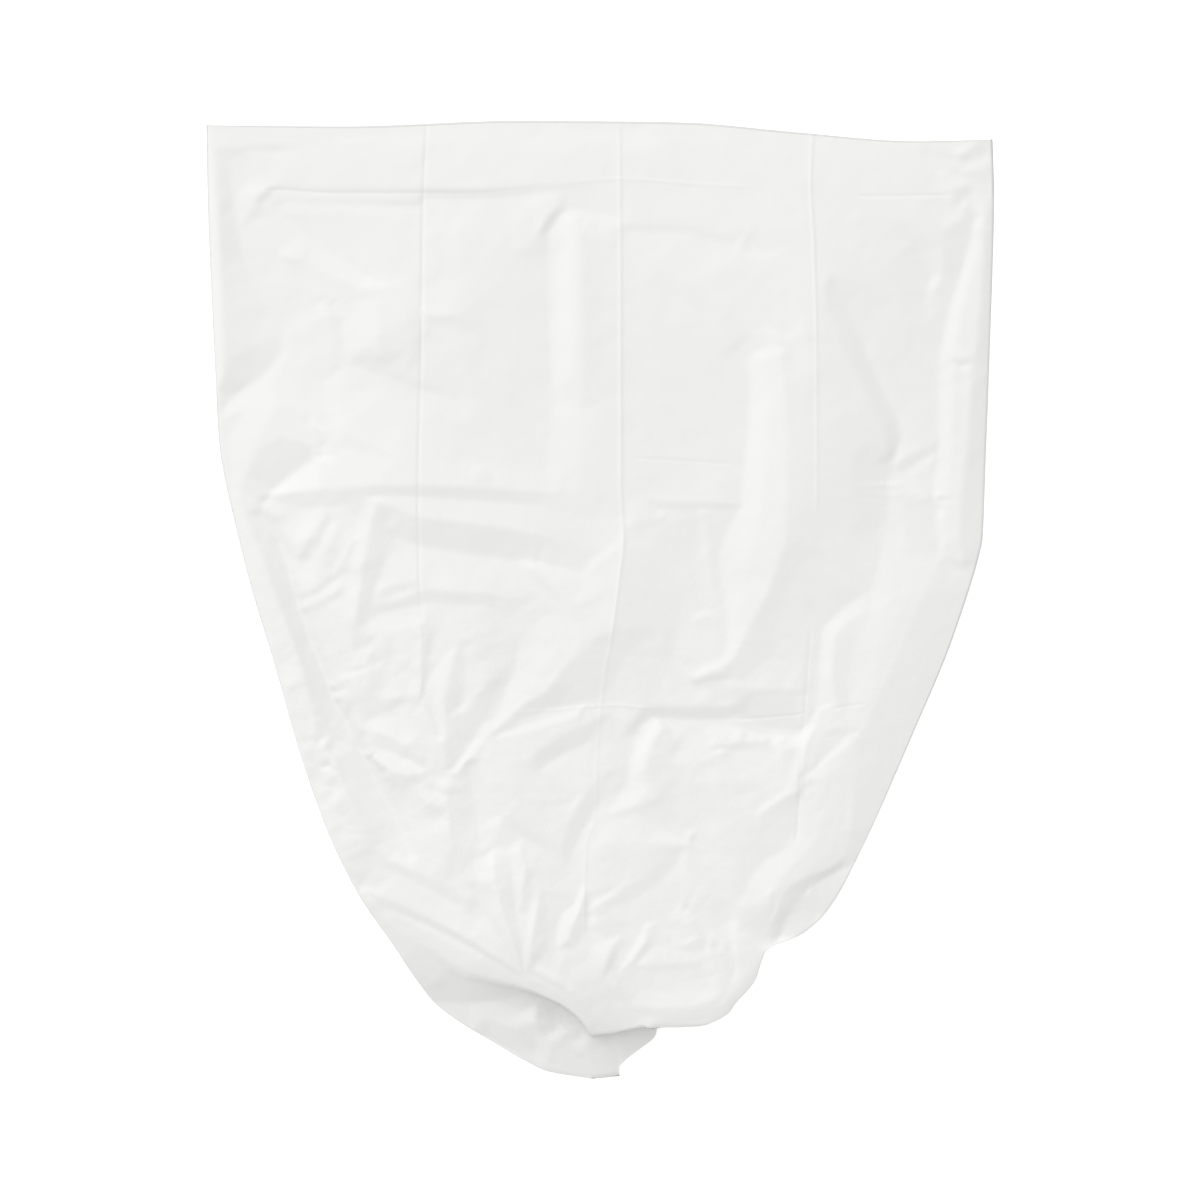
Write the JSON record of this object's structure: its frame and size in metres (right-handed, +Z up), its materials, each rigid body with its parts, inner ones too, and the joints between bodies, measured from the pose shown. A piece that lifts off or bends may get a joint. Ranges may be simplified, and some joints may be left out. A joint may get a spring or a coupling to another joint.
{
  "type": "trash can liner",
  "caption": "White plastic-film bin liner lying on its back, open at a wide flat mouth and tapering to a puffed, pleated, heat-sealed end.",
  "frame": {"origin": "on the floor under the middle of the lying bag", "axes": "+Z up off the floor, +Y along the bag out of its open mouth, +X to the right as seen from above"},
  "size_m": [0.6102, 0.7412, 0.0474],
  "materials": {
    "film": "translucent white low-density polyethylene film with a soft gloss, creased by folding and crumpling"
  },
  "bodies": {
    "root": {"liner": "film"}
  },
  "joints": []
}
